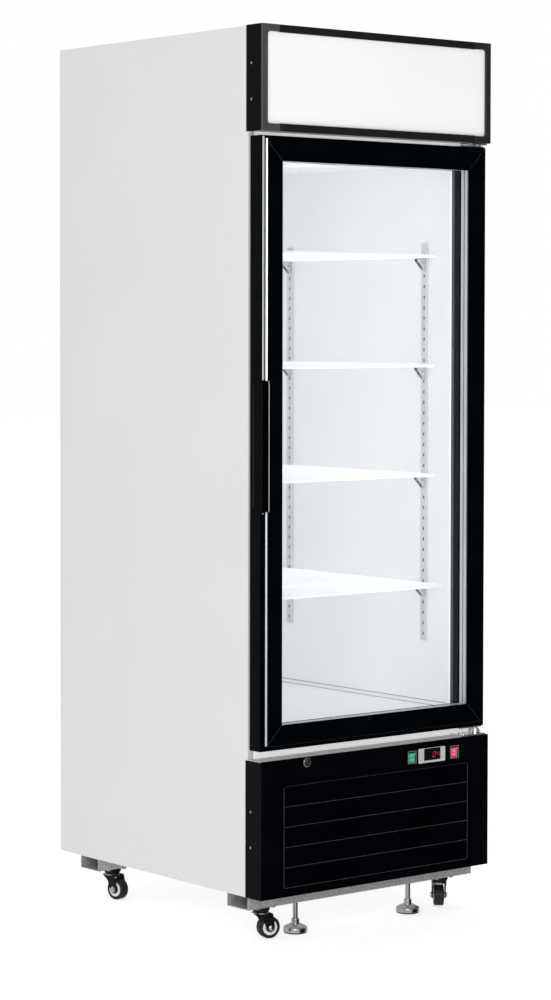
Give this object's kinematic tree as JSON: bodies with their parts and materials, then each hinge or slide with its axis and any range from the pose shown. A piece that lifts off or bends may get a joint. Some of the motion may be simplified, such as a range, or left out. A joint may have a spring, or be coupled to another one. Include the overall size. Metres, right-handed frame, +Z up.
{
  "type": "glass door merchandiser refrigerator",
  "caption": "Upright white display refrigerator with one hinged black-framed glass door, wire shelves, a lit canopy, a louvred lower cover, swivel casters and levelling feet.",
  "frame": {"origin": "on the floor under the middle of the cabinet's overall footprint", "axes": "+Z up, -Y out of the door's front, +X towards the hinge side"},
  "size_m": [0.686, 0.772, 2.031],
  "materials": {
    "cabinet_white": "satin",
    "galvanised": "satin",
    "foam": "matte",
    "liner_white": "satin",
    "trim_white": "satin",
    "ledge_grey": "satin",
    "cover_black": "gloss",
    "bezel_dark": "satin",
    "sign_white": "satin",
    "lamp_white": "satin",
    "louvre_black": "satin",
    "screw_zinc": "satin",
    "switch_black": "satin",
    "control_grey": "satin",
    "key_grey": "satin",
    "lock_chrome": "polished",
    "zinc": "satin",
    "fin": "satin",
    "motor_grey": "satin",
    "compressor_black": "satin",
    "copper": "satin",
    "pan_grey": "matte",
    "caster_black": "satin",
    "rubber_black": "matte",
    "door_black": "gloss",
    "clear_glass": "polished",
    "spacer": "satin",
    "gasket_black": "matte",
    "handle_black": "satin",
    "green_lens": "gloss",
    "red_lens": "gloss",
    "shelf_white": "gloss",
    "fan_black": "satin",
    "tyre_black": "satin",
    "foot_steel": "satin"
  },
  "bodies": {
    "root": {"side_panels": "cabinet_white", "rear_panel": "cabinet_white", "rear_grille": "galvanised", "top_panel": "cabinet_white", "insulation": "foam", "inner_liner": "liner_white", "face_frame": "trim_white", "base_rails": "galvanised", "base_pan": "galvanised", "hinge_ledge": "ledge_grey", "canopy_housing": "cover_black", "canopy_bezel": "bezel_dark", "sign_lens": "sign_white", "canopy_lamp": "lamp_white", "lower_cover": "cover_black", "louvre_panel": "louvre_black", "cover_screws": "screw_zinc", "switch_housings": "switch_black", "thermostat_case": "control_grey", "lock_barrel": "lock_chrome", "shelf_standards": "zinc", "shelf_clips": "zinc", "evaporator_cover": "liner_white", "evaporator_coil": "fin", "fan_motors": "motor_grey", "compressor": "compressor_black", "condenser_coil": "fin", "refrigerant_pipes": "copper", "drain_pan": "pan_grey", "hinge_brackets": "zinc", "caster_plates": "caster_black", "cable_gland": "rubber_black"},
    "door": {"door_stiles": "door_black", "door_rails": "door_black", "door_glass": "clear_glass", "glass_spacers": "spacer", "door_gasket": "gasket_black", "door_handle": "handle_black", "door_hinge_plates": "zinc"},
    "lock_plug": {"lock_plug": "lock_chrome"},
    "green_rocker": {"green_rocker": "green_lens"},
    "red_rocker": {"red_rocker": "red_lens"},
    "key_up": {"key_up": "key_grey"},
    "key_down": {"key_down": "key_grey"},
    "shelf_1": {"shelf_1": "shelf_white"},
    "shelf_2": {"shelf_2": "shelf_white"},
    "shelf_3": {"shelf_3": "shelf_white"},
    "shelf_4": {"shelf_4": "shelf_white"},
    "condenser_fan": {"condenser_fan": "fan_black"},
    "evaporator_fan": {"evaporator_fan": "fan_black"},
    "foot_left": {"foot_left": "foot_steel"},
    "foot_right": {"foot_right": "foot_steel"},
    "caster_fork_front_left": {"caster_fork_front_left": "caster_black"},
    "caster_wheel_front_left": {"caster_wheel_front_left": "tyre_black"},
    "caster_fork_front_right": {"caster_fork_front_right": "caster_black"},
    "caster_wheel_front_right": {"caster_wheel_front_right": "tyre_black"},
    "caster_fork_rear_left": {"caster_fork_rear_left": "caster_black"},
    "caster_wheel_rear_left": {"caster_wheel_rear_left": "tyre_black"},
    "caster_fork_rear_right": {"caster_fork_rear_right": "caster_black"},
    "caster_wheel_rear_right": {"caster_wheel_rear_right": "tyre_black"}
  },
  "joints": [
    {"name": "door_hinge", "type": "hinge", "parent": "root", "child": "door", "pos_m": [0.3205, -0.36375, 1.11175], "axis": [0, 0, 1], "range_deg": [0, 110], "stiffness_Nm_per_rad": 2, "springref_deg": -17.19},
    {"name": "lock_turn", "type": "hinge", "parent": "root", "child": "lock_plug", "pos_m": [-0.2115, -0.375, 0.401], "axis": [0, -1, 0], "range_deg": [0, 90]},
    {"name": "green_switch", "type": "hinge", "parent": "root", "child": "green_rocker", "pos_m": [0.103, -0.37285, 0.382], "axis": [-1, 0, 0], "range_deg": [0, 16]},
    {"name": "red_switch", "type": "hinge", "parent": "root", "child": "red_rocker", "pos_m": [0.235, -0.37285, 0.382], "axis": [-1, 0, 0], "range_deg": [0, 16]},
    {"name": "key_up_press", "type": "slide", "parent": "root", "child": "key_up", "axis": [0, 1, 0], "range_m": [0, 0.0008], "stiffness_N_per_m": 600, "springref_m": -0.0008},
    {"name": "key_down_press", "type": "slide", "parent": "root", "child": "key_down", "axis": [0, 1, 0], "range_m": [0, 0.0008], "stiffness_N_per_m": 600, "springref_m": -0.0008},
    {"name": "shelf_1_lift", "type": "slide", "parent": "root", "child": "shelf_1", "axis": [0, 0, 1], "range_m": [0, 0.02]},
    {"name": "shelf_2_lift", "type": "slide", "parent": "root", "child": "shelf_2", "axis": [0, 0, 1], "range_m": [0, 0.02]},
    {"name": "shelf_3_lift", "type": "slide", "parent": "root", "child": "shelf_3", "axis": [0, 0, 1], "range_m": [0, 0.02]},
    {"name": "shelf_4_lift", "type": "slide", "parent": "root", "child": "shelf_4", "axis": [0, 0, 1], "range_m": [0, 0.02]},
    {"name": "condenser_fan_spin", "type": "hinge", "parent": "root", "child": "condenser_fan", "pos_m": [-0.06, -0.242, 0.257], "axis": [0, 1, 0], "continuous": true},
    {"name": "evaporator_fan_spin", "type": "hinge", "parent": "root", "child": "evaporator_fan", "pos_m": [0, -0.11, 1.78], "axis": [0, 0, 1], "continuous": true},
    {"name": "caster_swivel_front_left", "type": "hinge", "parent": "root", "child": "caster_fork_front_left", "pos_m": [-0.271, -0.295, 0.0585], "axis": [0, 0, 1], "continuous": true},
    {"name": "caster_roll_front_left", "type": "hinge", "parent": "caster_fork_front_left", "child": "caster_wheel_front_left", "pos_m": [-0.25361, -0.29966, 0.025], "axis": [0.2588, 0.9659, 0], "continuous": true},
    {"name": "caster_swivel_front_right", "type": "hinge", "parent": "root", "child": "caster_fork_front_right", "pos_m": [0.271, -0.295, 0.0585], "axis": [0, 0, 1], "continuous": true},
    {"name": "caster_roll_front_right", "type": "hinge", "parent": "caster_fork_front_right", "child": "caster_wheel_front_right", "pos_m": [0.28233, -0.28101, 0.025], "axis": [-0.7771, 0.6293, 0], "continuous": true},
    {"name": "caster_swivel_rear_left", "type": "hinge", "parent": "root", "child": "caster_fork_rear_left", "pos_m": [-0.271, 0.271, 0.0585], "axis": [0, 0, 1], "continuous": true},
    {"name": "caster_roll_rear_left", "type": "hinge", "parent": "caster_fork_rear_left", "child": "caster_wheel_rear_left", "pos_m": [-0.26787, 0.25327, 0.025], "axis": [0.9848, 0.1736, 0], "continuous": true},
    {"name": "caster_swivel_rear_right", "type": "hinge", "parent": "root", "child": "caster_fork_rear_right", "pos_m": [0.271, 0.271, 0.0585], "axis": [0, 0, 1], "continuous": true},
    {"name": "caster_roll_rear_right", "type": "hinge", "parent": "caster_fork_rear_right", "child": "caster_wheel_rear_right", "pos_m": [0.28731, 0.27861, 0.025], "axis": [-0.4226, 0.9063, 0], "continuous": true},
    {"name": "foot_left_screw", "type": "slide", "parent": "root", "child": "foot_left", "axis": [0, 0, 1], "range_m": [-0.015, 0.012]},
    {"name": "foot_right_screw", "type": "slide", "parent": "root", "child": "foot_right", "axis": [0, 0, 1], "range_m": [-0.015, 0.012]}
  ]
}
